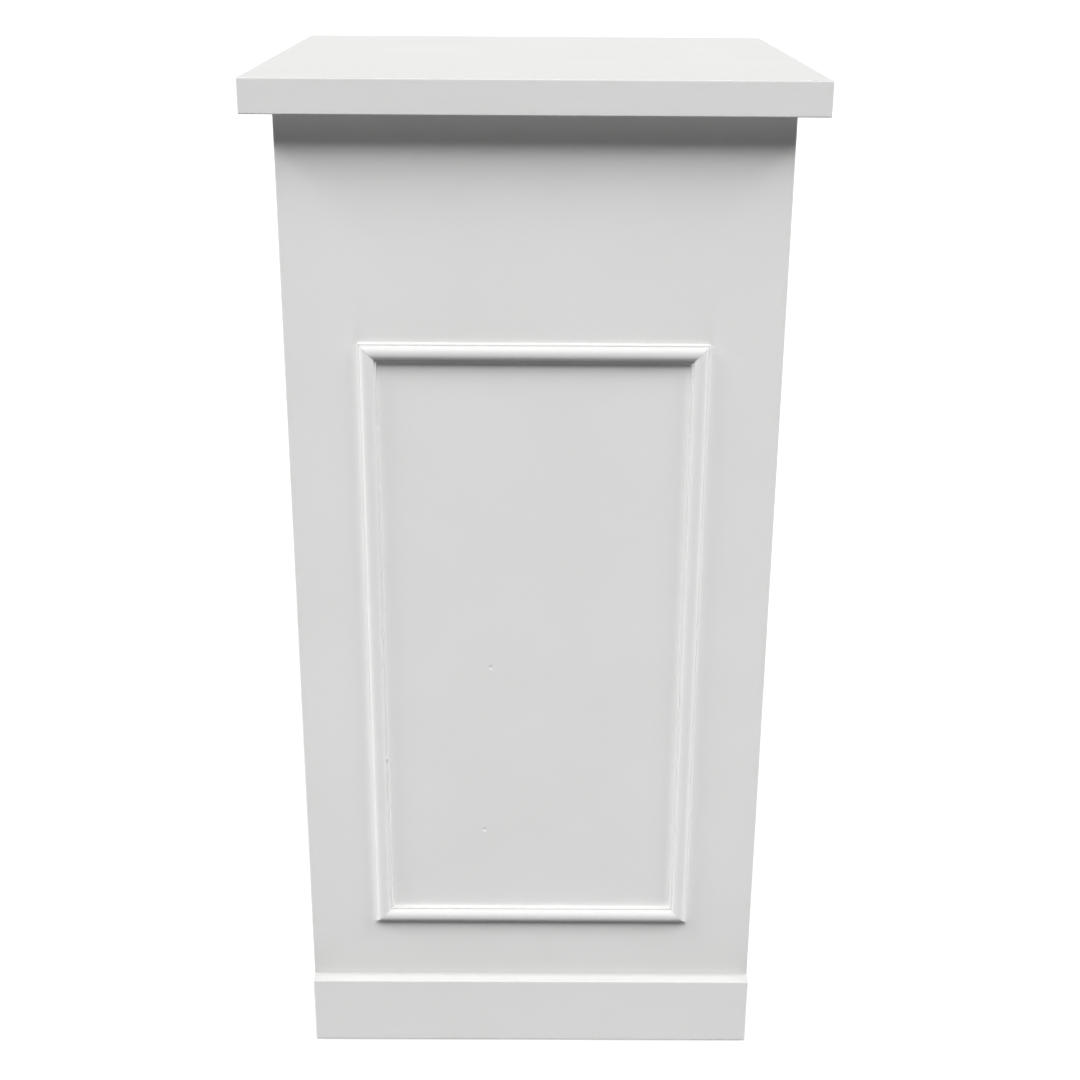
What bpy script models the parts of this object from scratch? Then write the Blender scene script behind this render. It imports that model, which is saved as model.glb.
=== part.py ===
"""White display plinth: a painted box column with an overhanging top, a mitred
panel-moulding frame and a skirting board on the front, and concealed levelling feet.

Metres, +Z up. The front faces -Y, and the origin is on the floor under the middle of the top.
"""
import math

import bmesh
import bpy
from mathutils import Matrix, Vector

# Overall sizes
TOTAL_HEIGHT = 0.980
TOP_WIDTH = 0.500
TOP_DEPTH = 0.500
TOP_THICKNESS = 0.030
TOP_OVERHANG = 0.025
FLOOR_REVEAL = 0.002            # height of the column's lower edge over the floor

# Column walls
PANEL_THICKNESS = 0.018
PANEL_LIP = 0.009               # what a rebate leaves of a front or back panel's thickness
EASED_RADIUS = 0.0015           # rounding of the outer arrises

# Clearances
GLUE_LINE = 0.0003              # gap between faces that are glued or rest on each other
THREAD_GAP = 0.0003             # radial gap round a stud or a screw
CUT_PAST = 0.003                # how far a cutter runs past the face it opens

# Skirting board
SKIRTING_HEIGHT = 0.073
SKIRTING_THICKNESS = 0.012

# Panel moulding, and the frame that four lengths of it make
MOULD_WIDTH = 0.0165
MOULD_THICKNESS = 0.0075
MOULD_FILLET_WIDTH = 0.0013
MOULD_FILLET_HEIGHT = 0.0036
MOULD_QUIRK_WIDTH = 0.0005
MOULD_QUIRK_DEPTH = 0.0005
FRAME_MARGIN = 0.0665           # plain panel beside the frame, and between it and the skirting
FRAME_HEIGHT = 0.6065

# Softwood inside the box
BATTEN_WIDTH = 0.025
CLEAT_DEPTH = 0.025
CLEAT_HEIGHT = 0.030
RAIL_DEPTH = 0.025
BLOCK_WIDTH = 0.060
BLOCK_HEIGHT = 0.045

# Countersunk screws
SCREW_DIAMETER = 0.005
SCREW_HEAD_DIAMETER = 0.0095
SCREW_TIP_LENGTH = 0.005
TOP_SCREW_BITE = 0.020          # length of a screw inside the top board
SKIRTING_SCREW_BITE = 0.006     # length of a screw inside the skirting
SCREWS_PER_CLEAT = 2
SKIRTING_SCREWS = 4

# Levelling feet
PAD_DIAMETER = 0.040
PAD_HEIGHT = 0.008
PAD_RIM_HEIGHT = 0.003
PAD_BOSS_WALL = 0.004
SOCKET_DEPTH = 0.005
STUD_DIAMETER = 0.008
STUD_REACH = 0.035              # length of the stud above the underside of its block
STUD_CHAMFER = 0.001
BALL_DIAMETER = 0.012           # round end of the stud, which turns in the pad's socket
COLLAR_FLATS = 0.014
COLLAR_HEIGHT = 0.005
ADJUSTING_GAP = 0.008           # bare stud between the collar and the lock nut
LOCK_NUT_FLATS = 0.013
LOCK_NUT_HEIGHT = 0.005
INSERT_WALL = 0.0012
INSERT_LENGTH = 0.012
INSERT_FLANGE_DIAMETER = 0.022
INSERT_FLANGE_HEIGHT = 0.0015
STUD_HOLE_GAP = 0.001           # radial gap round the stud in its block

# Facets on round shapes
ROUND_FACETS = 24
SCREW_FACETS = 12
BEAD_FACETS = 14
ARRIS_FACETS = 3

# Levels and faces that follow from the sizes above
COLUMN_WIDTH = TOP_WIDTH - 2 * TOP_OVERHANG
COLUMN_DEPTH = TOP_DEPTH - 2 * TOP_OVERHANG
FRONT_FACE = -COLUMN_DEPTH / 2
TOP_UNDERSIDE = TOTAL_HEIGHT - TOP_THICKNESS
PANEL_HEAD = TOP_UNDERSIDE - GLUE_LINE
INNER_X = COLUMN_WIDTH / 2 - PANEL_THICKNESS - GLUE_LINE
INNER_Y = COLUMN_DEPTH / 2 - PANEL_THICKNESS - GLUE_LINE
SKIRTING_TOP = FLOOR_REVEAL + SKIRTING_HEIGHT
FRAME_BOTTOM = SKIRTING_TOP + FRAME_MARGIN
FRAME_TOP = FRAME_BOTTOM + FRAME_HEIGHT
FRAME_WIDTH = COLUMN_WIDTH - 2 * FRAME_MARGIN
CLEAT_UNDERSIDE = PANEL_HEAD - CLEAT_HEIGHT
COLLAR_BOTTOM = PAD_HEIGHT + GLUE_LINE
LOCK_NUT_BOTTOM = COLLAR_BOTTOM + COLLAR_HEIGHT + ADJUSTING_GAP
INSERT_BOTTOM = LOCK_NUT_BOTTOM + LOCK_NUT_HEIGHT + GLUE_LINE
BLOCK_BOTTOM = INSERT_BOTTOM + INSERT_FLANGE_HEIGHT + GLUE_LINE
BLOCK_TOP = BLOCK_BOTTOM + BLOCK_HEIGHT
THREAD_BORE = STUD_DIAMETER / 2 + THREAD_GAP
INSERT_BARREL = THREAD_BORE + INSERT_WALL

# Signs of the four walls: the front faces -Y, and left is -X seen from the front
ENDS = {"front": -1, "back": 1}
SIDES = {"left": -1, "right": 1}


def clear_scene():
    """Removes every object that the scene starts with."""
    for item in list(bpy.data.objects):
        bpy.data.objects.remove(item, do_unlink=True)


def make_material(name, colour, roughness, metallic=0.0):
    """A Principled material with one colour, roughness and metallic value."""
    material = bpy.data.materials.new(name)
    material.use_nodes = True
    shader = material.node_tree.nodes["Principled BSDF"]
    shader.inputs["Base Color"].default_value = (*colour, 1.0)
    shader.inputs["Roughness"].default_value = roughness
    shader.inputs["Metallic"].default_value = metallic
    return material


# Shapes

def finished_mesh(name, shape, material=None, smooth_angle=None):
    """Turns a bmesh into a mesh with its faces pointing out."""
    bmesh.ops.recalc_face_normals(shape, faces=shape.faces)
    mesh = bpy.data.meshes.new(name)
    shape.to_mesh(mesh)
    shape.free()
    if material:
        mesh.materials.append(material)
    if smooth_angle:
        mesh.shade_smooth()
        mesh.set_sharp_from_angle(angle=math.radians(smooth_angle))
    return mesh


def add_piece(name, mesh, location=(0, 0, 0), parent=None):
    """Puts a mesh into the scene as a named sub-part."""
    piece = bpy.data.objects.new(name, mesh)
    piece.location = location
    piece.parent = parent
    bpy.context.collection.objects.link(piece)
    return piece


def add_cutter(name, mesh, location=(0, 0, 0)):
    """A shape that only cuts a piece or is joined to it."""
    cutter = add_piece(name, mesh, location)
    cutter.hide_render = True
    cutter.display_type = "WIRE"
    return cutter


def combine(piece, other, operation):
    """Cuts another shape out of a piece, or joins it on."""
    modifier = piece.modifiers.new(other.name, "BOOLEAN")
    modifier.object = other
    modifier.operation = operation
    modifier.solver = "EXACT"


def add_board(name, spans, material, eased=False):
    """A square-edged board over three (low, high) spans, with its arrises rounded if asked."""
    low, high = (Vector(corner) for corner in zip(*spans))
    shape = bmesh.new()
    bmesh.ops.create_cube(shape, size=1.0)
    bmesh.ops.scale(shape, vec=high - low, verts=shape.verts)
    board = add_piece(name, finished_mesh(name, shape, material), (low + high) / 2)
    if eased:
        bevel = board.modifiers.new("eased_arrises", "BEVEL")
        bevel.width = EASED_RADIUS
        bevel.segments = ARRIS_FACETS
    return board


def prism_mesh(name, outline, levels, material=None):
    """An outline in X and Y, carried straight up from one level to another."""
    bottom, top = levels
    shape = bmesh.new()
    base = shape.faces.new([shape.verts.new((x, y, bottom)) for x, y in outline])
    raised = bmesh.ops.extrude_face_region(shape, geom=[base])["geom"]
    corners = [item for item in raised if isinstance(item, bmesh.types.BMVert)]
    bmesh.ops.translate(shape, verts=corners, vec=(0, 0, top - bottom))
    return finished_mesh(name, shape, material)


def hexagon(flats):
    """The corners of a hexagon with this size across its flats."""
    radius = flats / math.sqrt(3)
    turns = [math.pi * corner / 3 for corner in range(6)]
    return [(radius * math.cos(turn), radius * math.sin(turn)) for turn in turns]


def add_turned(shape, profile, facets, place=Matrix()):
    """Turns (radius, height) points about Z.

    A profile that starts on the axis also ends there and closes at its poles. One that
    starts off the axis is a ring's section, and closes on itself."""
    rings = []
    for radius, height in profile:
        if radius == 0:
            rings.append([shape.verts.new(place @ Vector((0, 0, height)))] * facets)
            continue
        turns = [2 * math.pi * step / facets for step in range(facets)]
        points = [Vector((radius * math.cos(turn), radius * math.sin(turn), height)) for turn in turns]
        rings.append([shape.verts.new(place @ point) for point in points])
    neighbours = list(zip(rings, rings[1:]))
    if profile[0][0] > 0:
        neighbours.append((rings[-1], rings[0]))
    for near, far in neighbours:
        for step in range(facets):
            after = (step + 1) % facets
            corners = (near[step], near[after], far[after], far[step])
            shape.faces.new(list(dict.fromkeys(corners)))


def turned_mesh(name, profile, facets, material=None):
    """One turned shape about its own Z axis, shaded round with sharp shoulders."""
    shape = bmesh.new()
    add_turned(shape, profile, facets)
    return finished_mesh(name, shape, material, smooth_angle=40)


def inward(face, depth):
    """The span from a face towards the middle of the box, low end first."""
    other = face - math.copysign(depth, face)
    return min(face, other), max(face, other)


def evenly(half_length, count):
    """Places along a strip, an equal space apart and half a space in from its ends."""
    return [half_length * ((2 * place + 1) / count - 1) for place in range(count)]


# Top board, walls and skirting

def make_top_board(paint):
    """The square top, which overhangs the column all round."""
    across = inward(TOP_WIDTH / 2, TOP_WIDTH)
    deep = inward(TOP_DEPTH / 2, TOP_DEPTH)
    return add_board("top_board", (across, deep, (TOP_UNDERSIDE, TOTAL_HEIGHT)), paint, eased=True)


def end_panel_outline(sign):
    """Plan of the front or back panel: rounded outer arrises and rebated inner edges."""
    half = COLUMN_WIDTH / 2
    face = COLUMN_DEPTH / 2
    rebate = half - PANEL_THICKNESS - GLUE_LINE
    right = []
    for step in range(ARRIS_FACETS + 1):
        turn = math.pi / 2 * (1 - step / ARRIS_FACETS)
        x = half - EASED_RADIUS * (1 - math.cos(turn))
        y = face - EASED_RADIUS * (1 - math.sin(turn))
        right.append((x, y))
    right += [(half, face - PANEL_LIP), (rebate, face - PANEL_LIP), (rebate, face - PANEL_THICKNESS)]
    left = [(-x, y) for x, y in reversed(right)]
    return [(x, sign * y) for x, y in right + left]


def make_walls(paint):
    """Front and back panels, and the side panels lapped into their rebates."""
    levels = (FLOOR_REVEAL, PANEL_HEAD)
    walls = {}
    for name, sign in ENDS.items():
        node = f"{name}_panel"
        walls[name] = add_piece(node, prism_mesh(node, end_panel_outline(sign), levels, paint))
    reach = COLUMN_DEPTH / 2 - PANEL_LIP - GLUE_LINE
    for name, sign in SIDES.items():
        spans = (inward(sign * COLUMN_WIDTH / 2, PANEL_THICKNESS), (-reach, reach), levels)
        walls[name] = add_board(f"{name}_side_panel", spans, paint)
    return walls


def make_skirting(paint):
    """A square-edged board across the foot of the front panel, flush with the sides."""
    across = inward(COLUMN_WIDTH / 2, COLUMN_WIDTH)
    back = FRONT_FACE - GLUE_LINE
    deep = (back - SKIRTING_THICKNESS, back)
    return add_board("front_skirting", (across, deep, (FLOOR_REVEAL, SKIRTING_TOP)), paint, eased=True)


# Panel moulding

def mould_profile():
    """Section of the moulding: a bead between two quirks and two fillets.

    Each point is (across, out): across from the frame's outer edge, out from the panel."""
    quirk_floor = MOULD_FILLET_HEIGHT - MOULD_QUIRK_DEPTH
    half_bead = MOULD_WIDTH / 2 - MOULD_FILLET_WIDTH - MOULD_QUIRK_WIDTH
    outer = [(0, 0), (0, MOULD_FILLET_HEIGHT), (MOULD_FILLET_WIDTH, MOULD_FILLET_HEIGHT)]
    bead = []
    for step in range(BEAD_FACETS + 1):
        turn = math.pi * (1 - step / BEAD_FACETS)
        across = MOULD_WIDTH / 2 + half_bead * math.cos(turn)
        bead.append((across, quirk_floor + (MOULD_THICKNESS - quirk_floor) * math.sin(turn)))
    inner = [(MOULD_WIDTH - across, out) for across, out in reversed(outer)]
    return outer + bead + inner


def mould_mesh(name, length, paint):
    """A length of moulding along X with mitred ends and its outer edge up."""
    mitre_gap = GLUE_LINE / math.sqrt(2)
    shape = bmesh.new()
    ends = []
    for sign in (-1, 1):
        end = []
        for across, out in mould_profile():
            along = length / 2 - across - mitre_gap
            end.append(shape.verts.new((sign * along, -out, -across)))
        ends.append(end)
    for end in ends:
        shape.faces.new(end)
    near, far = ends
    for step in range(len(near)):
        shape.faces.new((near[step - 1], near[step], far[step], far[step - 1]))
    return finished_mesh(name, shape, paint, smooth_angle=35)


def make_mould_frame(paint):
    """Four mitred lengths round a rectangle on the front panel."""
    middle = (FRAME_TOP + FRAME_BOTTOM) / 2
    lengths = (
        ("top", FRAME_WIDTH, (0, FRAME_TOP)),
        ("right", FRAME_HEIGHT, (FRAME_WIDTH / 2, middle)),
        ("bottom", FRAME_WIDTH, (0, FRAME_BOTTOM)),
        ("left", FRAME_HEIGHT, (-FRAME_WIDTH / 2, middle)),
    )
    for quarter, (name, length, (x, z)) in enumerate(lengths):
        node = f"panel_mould_{name}"
        mould = add_piece(node, mould_mesh(node, length, paint), (x, FRONT_FACE - GLUE_LINE, z))
        mould.rotation_euler.y = quarter * math.pi / 2


# Softwood inside the box

def make_strips(prefix, corner_width, depth, levels, softwood):
    """A strip along the inside of each wall, stopping at corner pieces of the given width."""
    half_x = INNER_X - corner_width - GLUE_LINE
    half_y = INNER_Y - corner_width - GLUE_LINE
    strips = {}
    for name, sign in ENDS.items():
        spans = ((-half_x, half_x), inward(sign * INNER_Y, depth), levels)
        strips[name] = add_board(f"{prefix}_{name}", spans, softwood)
    for name, sign in SIDES.items():
        spans = (inward(sign * INNER_X, depth), (-half_y, half_y), levels)
        strips[name] = add_board(f"{prefix}_{name}", spans, softwood)
    return strips


def add_corner_post(node, corner, width, levels, softwood):
    """A square post in one inside corner of the box."""
    x, y = corner
    return add_board(node, (inward(x, width), inward(y, width), levels), softwood)


# Screws

def screw_profile(length):
    """A countersunk screw with its head's flat face at Z = 0, pointing up."""
    head = SCREW_HEAD_DIAMETER / 2
    shank = SCREW_DIAMETER / 2
    return [(0, 0), (head, 0), (shank, head - shank), (shank, length - SCREW_TIP_LENGTH), (0, length)]


def screw_hole_profile(length):
    """The countersunk hole of a screw, wider by the thread's gap and open below the head."""
    _, head, neck, shoulder, tip = screw_profile(length)
    wider = [(radius + THREAD_GAP, height) for radius, height in (head, neck, shoulder)]
    mouth = -CUT_PAST
    return [(0, mouth), (wider[0][0], mouth), *wider, (0, tip[1] + THREAD_GAP)]


def make_screws(prefix, places, length, turn, steel, drilled):
    """A screw at each named place, and its hole in each of the pieces it passes through."""
    mesh = turned_mesh(prefix, screw_profile(length), SCREW_FACETS, steel)
    holes = bmesh.new()
    for name, place in places.items():
        screw = add_piece(f"{prefix}_{name}", mesh, place)
        screw.rotation_euler = turn.to_euler()
        add_turned(holes, screw_hole_profile(length), SCREW_FACETS, Matrix.Translation(place) @ turn)
    cutter = add_cutter(f"{prefix}_holes", finished_mesh(f"{prefix}_holes", holes))
    for piece in drilled:
        combine(piece, cutter, "DIFFERENCE")


def make_top_screws(top, cleats, steel):
    """Screws up through the cleats into the top board."""
    places = {}
    for name, sign in ENDS.items():
        y = sign * (INNER_Y - CLEAT_DEPTH / 2)
        for number, x in enumerate(evenly(INNER_X - BATTEN_WIDTH, SCREWS_PER_CLEAT), start=1):
            places[f"{name}_{number}"] = Vector((x, y, CLEAT_UNDERSIDE))
    for name, sign in SIDES.items():
        x = sign * (INNER_X - CLEAT_DEPTH / 2)
        for number, y in enumerate(evenly(INNER_Y - BATTEN_WIDTH, SCREWS_PER_CLEAT), start=1):
            places[f"{name}_{number}"] = Vector((x, y, CLEAT_UNDERSIDE))
    length = TOP_UNDERSIDE + TOP_SCREW_BITE - CLEAT_UNDERSIDE
    make_screws("top_screw", places, length, Matrix(), steel, (top, *cleats.values()))


def make_skirting_screws(rail, panel, skirting, steel):
    """Screws forward through the front rail and panel into the back of the skirting."""
    rail_face = -INNER_Y + RAIL_DEPTH
    level = (BLOCK_BOTTOM + BLOCK_TOP) / 2
    places = {}
    for number, x in enumerate(evenly(INNER_X - BLOCK_WIDTH, SKIRTING_SCREWS), start=1):
        places[str(number)] = Vector((x, rail_face, level))
    length = rail_face - (FRONT_FACE - GLUE_LINE - SKIRTING_SCREW_BITE)
    forward = Matrix.Rotation(math.pi / 2, 4, "X")
    make_screws("skirting_screw", places, length, forward, steel, (rail, panel, skirting))


# Levelling feet

def pad_profile():
    """A round pad, flat below, with a boss on top round a socket for the stud's ball end."""
    rim = PAD_DIAMETER / 2
    socket = BALL_DIAMETER / 2 + THREAD_GAP
    boss = socket + PAD_BOSS_WALL
    floor = PAD_HEIGHT - SOCKET_DEPTH
    outside = [(0, 0), (rim, 0), (rim, PAD_RIM_HEIGHT), (boss, PAD_HEIGHT)]
    return outside + [(socket, PAD_HEIGHT), (socket, floor), (0, floor)]


def stud_profile():
    """A round stud on a ball end that stands in the pad's socket."""
    ball = BALL_DIAMETER / 2
    shank = STUD_DIAMETER / 2
    seat = PAD_HEIGHT - SOCKET_DEPTH + GLUE_LINE
    neck = COLLAR_BOTTOM + COLLAR_HEIGHT / 2
    head = BLOCK_BOTTOM + STUD_REACH
    lower = [(0, seat), (ball - STUD_CHAMFER, seat), (ball, seat + STUD_CHAMFER), (ball, neck)]
    upper = [(shank, neck), (shank, head - STUD_CHAMFER), (shank - STUD_CHAMFER, head), (0, head)]
    return lower + upper


def insert_profile():
    """Section of a flanged threaded insert, flange down, round its bore."""
    flange = INSERT_FLANGE_DIAMETER / 2
    shoulder = INSERT_FLANGE_HEIGHT
    head = shoulder + INSERT_LENGTH
    lower = [(THREAD_BORE, 0), (flange, 0), (flange, shoulder), (INSERT_BARREL, shoulder)]
    return lower + [(INSERT_BARREL, head), (THREAD_BORE, head)]


def block_hole_profile():
    """The stepped hole up through a block: wide round the insert, narrower above it."""
    barrel = INSERT_BARREL + GLUE_LINE
    stud = STUD_DIAMETER / 2 + STUD_HOLE_GAP
    mouth = BLOCK_BOTTOM - CUT_PAST
    step = INSERT_BOTTOM + INSERT_FLANGE_HEIGHT + INSERT_LENGTH + GLUE_LINE
    head = BLOCK_TOP + CUT_PAST
    return [(0, mouth), (barrel, mouth), (barrel, step), (stud, step), (stud, head), (0, head)]


def nut_bore_profile():
    """A plain cutter for the lock nut's bore."""
    mouth = LOCK_NUT_BOTTOM - CUT_PAST
    head = LOCK_NUT_BOTTOM + LOCK_NUT_HEIGHT + CUT_PAST
    return [(0, mouth), (THREAD_BORE, mouth), (THREAD_BORE, head), (0, head)]


def make_foot_meshes(steel, rubber):
    """The meshes that all four feet share."""
    collar_levels = (COLLAR_BOTTOM, COLLAR_BOTTOM + COLLAR_HEIGHT)
    nut_levels = (LOCK_NUT_BOTTOM, LOCK_NUT_BOTTOM + LOCK_NUT_HEIGHT)
    return {
        "pad": turned_mesh("foot_pad", pad_profile(), ROUND_FACETS, rubber),
        "stud": turned_mesh("foot_stud", stud_profile(), ROUND_FACETS, steel),
        "collar": prism_mesh("stud_collar", hexagon(COLLAR_FLATS), collar_levels, steel),
        "insert": turned_mesh("foot_insert", insert_profile(), ROUND_FACETS, steel),
        "nut": prism_mesh("foot_lock_nut", hexagon(LOCK_NUT_FLATS), nut_levels, steel),
        "nut_bore": turned_mesh("nut_bore", nut_bore_profile(), ROUND_FACETS),
        "block_hole": turned_mesh("block_hole", block_hole_profile(), ROUND_FACETS),
    }


def make_foot(corner, axis, block, meshes):
    """One levelling foot: the pad and stud hang on an empty that stands on the foot's axis."""
    foot = bpy.data.objects.new(f"foot_{corner}", None)
    foot.location = axis
    bpy.context.collection.objects.link(foot)
    add_piece(f"foot_pad_{corner}", meshes["pad"], parent=foot)
    stud = add_piece(f"foot_stud_{corner}", meshes["stud"], parent=foot)
    combine(stud, add_cutter(f"stud_collar_{corner}", meshes["collar"], axis), "UNION")
    nut = add_piece(f"foot_lock_nut_{corner}", meshes["nut"], axis)
    combine(nut, add_cutter(f"nut_bore_{corner}", meshes["nut_bore"], axis), "DIFFERENCE")
    add_piece(f"foot_insert_{corner}", meshes["insert"], axis + Vector((0, 0, INSERT_BOTTOM)))
    combine(block, add_cutter(f"block_hole_{corner}", meshes["block_hole"], axis), "DIFFERENCE")


def make_corners(softwood, steel, rubber):
    """A batten, a foot block and a levelling foot in each corner of the box."""
    meshes = make_foot_meshes(steel, rubber)
    batten_levels = (BLOCK_TOP + GLUE_LINE, PANEL_HEAD)
    block_levels = (BLOCK_BOTTOM, BLOCK_TOP)
    for end, end_sign in ENDS.items():
        for side, side_sign in SIDES.items():
            corner = f"{end}_{side}"
            x = side_sign * INNER_X
            y = end_sign * INNER_Y
            add_corner_post(f"corner_batten_{corner}", (x, y), BATTEN_WIDTH, batten_levels, softwood)
            block = add_corner_post(f"foot_block_{corner}", (x, y), BLOCK_WIDTH, block_levels, softwood)
            make_foot(corner, Vector((*block.location.xy, 0)), block, meshes)


def main():
    clear_scene()
    board_paint = make_material("board_paint", (0.82, 0.82, 0.82), 0.45)
    mould_paint = make_material("mould_paint", (0.84, 0.84, 0.84), 0.40)
    softwood = make_material("softwood", (0.68, 0.50, 0.31), 0.75)
    zinc_steel = make_material("zinc_steel", (0.62, 0.63, 0.65), 0.35, 1.0)
    black_rubber = make_material("black_rubber", (0.03, 0.03, 0.03), 0.80)
    top = make_top_board(board_paint)
    walls = make_walls(board_paint)
    skirting = make_skirting(board_paint)
    make_mould_frame(mould_paint)
    make_corners(softwood, zinc_steel, black_rubber)
    cleats = make_strips("top_cleat", BATTEN_WIDTH, CLEAT_DEPTH, (CLEAT_UNDERSIDE, PANEL_HEAD), softwood)
    rails = make_strips("base_rail", BLOCK_WIDTH, RAIL_DEPTH, (BLOCK_BOTTOM, BLOCK_TOP), softwood)
    make_top_screws(top, cleats, zinc_steel)
    make_skirting_screws(rails["front"], walls["front"], skirting, zinc_steel)


main()
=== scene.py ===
"""White display plinth: finer painted surfaces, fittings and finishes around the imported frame.

Metres, +Z up, front towards -Y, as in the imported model.
"""
import math

import bmesh
import bpy
import numpy as np
from mathutils import Matrix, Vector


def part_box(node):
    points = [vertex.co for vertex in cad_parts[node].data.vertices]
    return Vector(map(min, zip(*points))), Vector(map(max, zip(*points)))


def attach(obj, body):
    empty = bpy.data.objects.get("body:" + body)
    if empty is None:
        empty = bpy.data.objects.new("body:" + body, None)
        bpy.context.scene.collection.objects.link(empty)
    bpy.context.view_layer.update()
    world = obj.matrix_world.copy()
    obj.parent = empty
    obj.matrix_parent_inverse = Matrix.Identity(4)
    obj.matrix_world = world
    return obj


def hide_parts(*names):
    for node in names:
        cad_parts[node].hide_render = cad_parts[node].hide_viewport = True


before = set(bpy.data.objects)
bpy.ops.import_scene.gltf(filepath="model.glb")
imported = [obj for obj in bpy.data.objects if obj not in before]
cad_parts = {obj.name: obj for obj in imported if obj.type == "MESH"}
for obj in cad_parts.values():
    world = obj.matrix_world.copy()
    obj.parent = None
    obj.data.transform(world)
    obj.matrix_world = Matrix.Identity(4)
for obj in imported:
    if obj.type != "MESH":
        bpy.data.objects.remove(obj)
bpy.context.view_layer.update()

# Camera, as it stood for the photograph
CAMERA_PLACE = (0.0001, -1.6759, 1.1112)
CAMERA_PITCH = 0.36348          # downwards, in radians
CAMERA_YAW = -0.00445
CAMERA_ROLL = 0.00655
CAMERA_LENS = 55.13             # millimetres, on a sensor 36 mm wide
SENSOR_WIDTH = 36.0

# Soft lamps, each far off: azimuth from the front (left is negative), height and width in degrees,
# and strength as the brightness of a white card that faces it
LAMPS = {
    "key_middle": (0, 53.5, 17, 0.51),
    "key_high": (0, 69, 17, 0.20),
    "key_left": (-45, 48, 16, 0.12),
    "key_right": (25, 59, 16, 0.17),
    "wing_left": (-72, 46, 15, 0.34),
    "wing_right": (70, 45, 15, 0.30),
    "side_left": (-90, 4.5, 8, 0.30),
    "side_right": (90, 4.5, 8, 0.23),
    "rear": (180, 3.5, 7, 0.62),
}
GRAZING_LAMPS = ("rear",)       # would glare on the top if it showed in the gloss
WORLD_FILL = 0.02
FLOOR_HALF = 40.0
FLOOR_BOUNCE = 0.12             # floor's albedo for the light it throws back on the plinth
FLOOR_LIT = 0.35                # share of the floor's white that comes from the lamps
FLOOR_GLOW = 0.69

# Painted boards
ARRIS = 0.0009                  # rounding of the top board's and the column's arrises
SKIRTING_ARRIS = 0.0014
SKIRTING_CAULK = 0.0008         # hollow of caulk between the skirting's top and the panel
SEAM_GAP = 0.00006              # hairline left where two painted boards meet
SEAM_CHAMFER = 0.00025
GLUE_LINE = 0.0003              # left between the end panels' rebates and the side panels
LIP_PAINT = 0.0001              # paint ends this far outside an end panel's lip
SIDE_PAINT = 0.0004             # and this far in from a side panel's face
FACE_SHARE = 0.3                # part of an arris, below the top, that the top face's finish takes in
ARC_STEPS = 6
CAULK_STEPS = 8
CLOSE_LINE = 0.0007             # distance of a support line from an arris
EDGE_LINES = (CLOSE_LINE, 0.003, 0.006, 0.010)  # lines beside an arris, where its wear fades
EDGE_REACH = 0.004
BOARD_LINES = 0.025
SUNK = 0.00005                  # how far a glued-on piece is let into the paint below it

# Small dents in the front panel: across, height, radius, depth
DENTS = ((-0.0405, 0.4272, 0.0020, 0.00030), (-0.0473, 0.2476, 0.0020, 0.00032))
DENT_LINE = 0.0003
DENT_REACH = 0.005              # fine lines go this far to each side of a dent

# Painted shade
CORNER_LINES = (-0.002, 0, 0.002, 0.004, 0.007, 0.011, 0.016, 0.023, 0.032, 0.045)  # above a ledge
CORNER_REACH = 0.012            # how far the painted shade in the corner above a ledge goes up
CORNER_FADE = 0.006             # how far it goes past the ledge's ends
FRAME_SHARE = 0.40              # how dark the painted shade is in the corner above the moulding frame
LEDGE_REACH = 0.0028            # how far it comes out over the skirting's top
LEDGE_SHARE = 0.75              # how dark the painted shade is on that top beside the panel
LEDGE_LINES = 9
FLOOR_SHADE_REACH = 0.10              # how far the painted shade, darker towards the floor, goes up the walls
FLOOR_SHADE_SHARE = 0.35              # how dark the walls' painted shade is at the floor, where the corner's is 1

# Panel moulding
MOULD_FILLET = 0.0013
MOULD_FILLET_HEIGHT = 0.0039
MOULD_QUIRK = 0.0005
MOULD_QUIRK_FLAT = 0.6          # part of the quirk's width that is flat
MOULD_QUIRK_DEPTH = 0.00015     # nearly filled with paint
MOULD_EASE = 0.0007
MOULD_HOLLOW = 0.09             # part of the bead's turn, in radians, that paint fills at each side
MOULD_POWER = 2.2               # 2 for an elliptical bead, more for a flatter one with tighter shoulders
MOULD_PAINT_FILLET = 0.0005
MOULD_PAINT_STEPS = 4
BEAD_POINTS = 49
MOULD_LINES = 0.012
MITRE_GAP = 0.00008
# A paint nib on the left length: across, height, radius, and how far it stands out
NIB = (-0.1425, 0.3290, 0.0018, 0.00110)

# Levelling feet and screws
CORNERS = ("front_left", "front_right", "back_left", "back_right")
ROUND_STEPS = 48                # divisions of a full turn, a multiple of six for the hexagons
PAD_STEPS = 96
HEX_CHAMFER = 0.475             # radius of a hexagon's chamfer at its end face, as a share of its flats
HEX_CHAMFER_DEPTH = 0.0010
HEX_CHAMFER_ROWS = 9
BALL_RADIUS = 0.006
BALL_FLAT = 0.0002              # height at which the ball's lowest row is cut flat
BALL_ROWS = 9
COLLAR_BOTTOM = 0.0083
COLLAR_TOP = 0.0133
COLLAR_FLATS = 0.014
STUD_RADIUS = 0.004
STUD_CHAMFER = 0.0010
STUD_PITCH = 0.00125
STUD_THREAD_DEPTH = 0.00068
STUD_RUN_OUT = (0.0008, 0.0030)  # where the thread starts and where it is full, above the collar
THREAD_ROWS = 8                 # rows of points in one pitch
THREAD_ROOT = 0.10              # share of half a pitch at the root, then of the flank
THREAD_FLANK = 0.78
NUT_SINK = 0.0006
BORE_RADIUS = 0.0043
INSERT_BARREL = 0.0055
INSERT_FLANGE = 0.0015
INSERT_EASE = 0.0004
PAD_RIM = 0.003
PAD_BOSS = 0.0103
PAD_SOCKET = 0.0063
PAD_SOCKET_FLOOR = 0.003
PAD_EASE = 0.0007
PAD_GROOVES = (0.0075, 0.0115, 0.0155)
PAD_GROOVE_WIDTH = 0.0009
PAD_GROOVE_DEPTH = 0.0008
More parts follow.
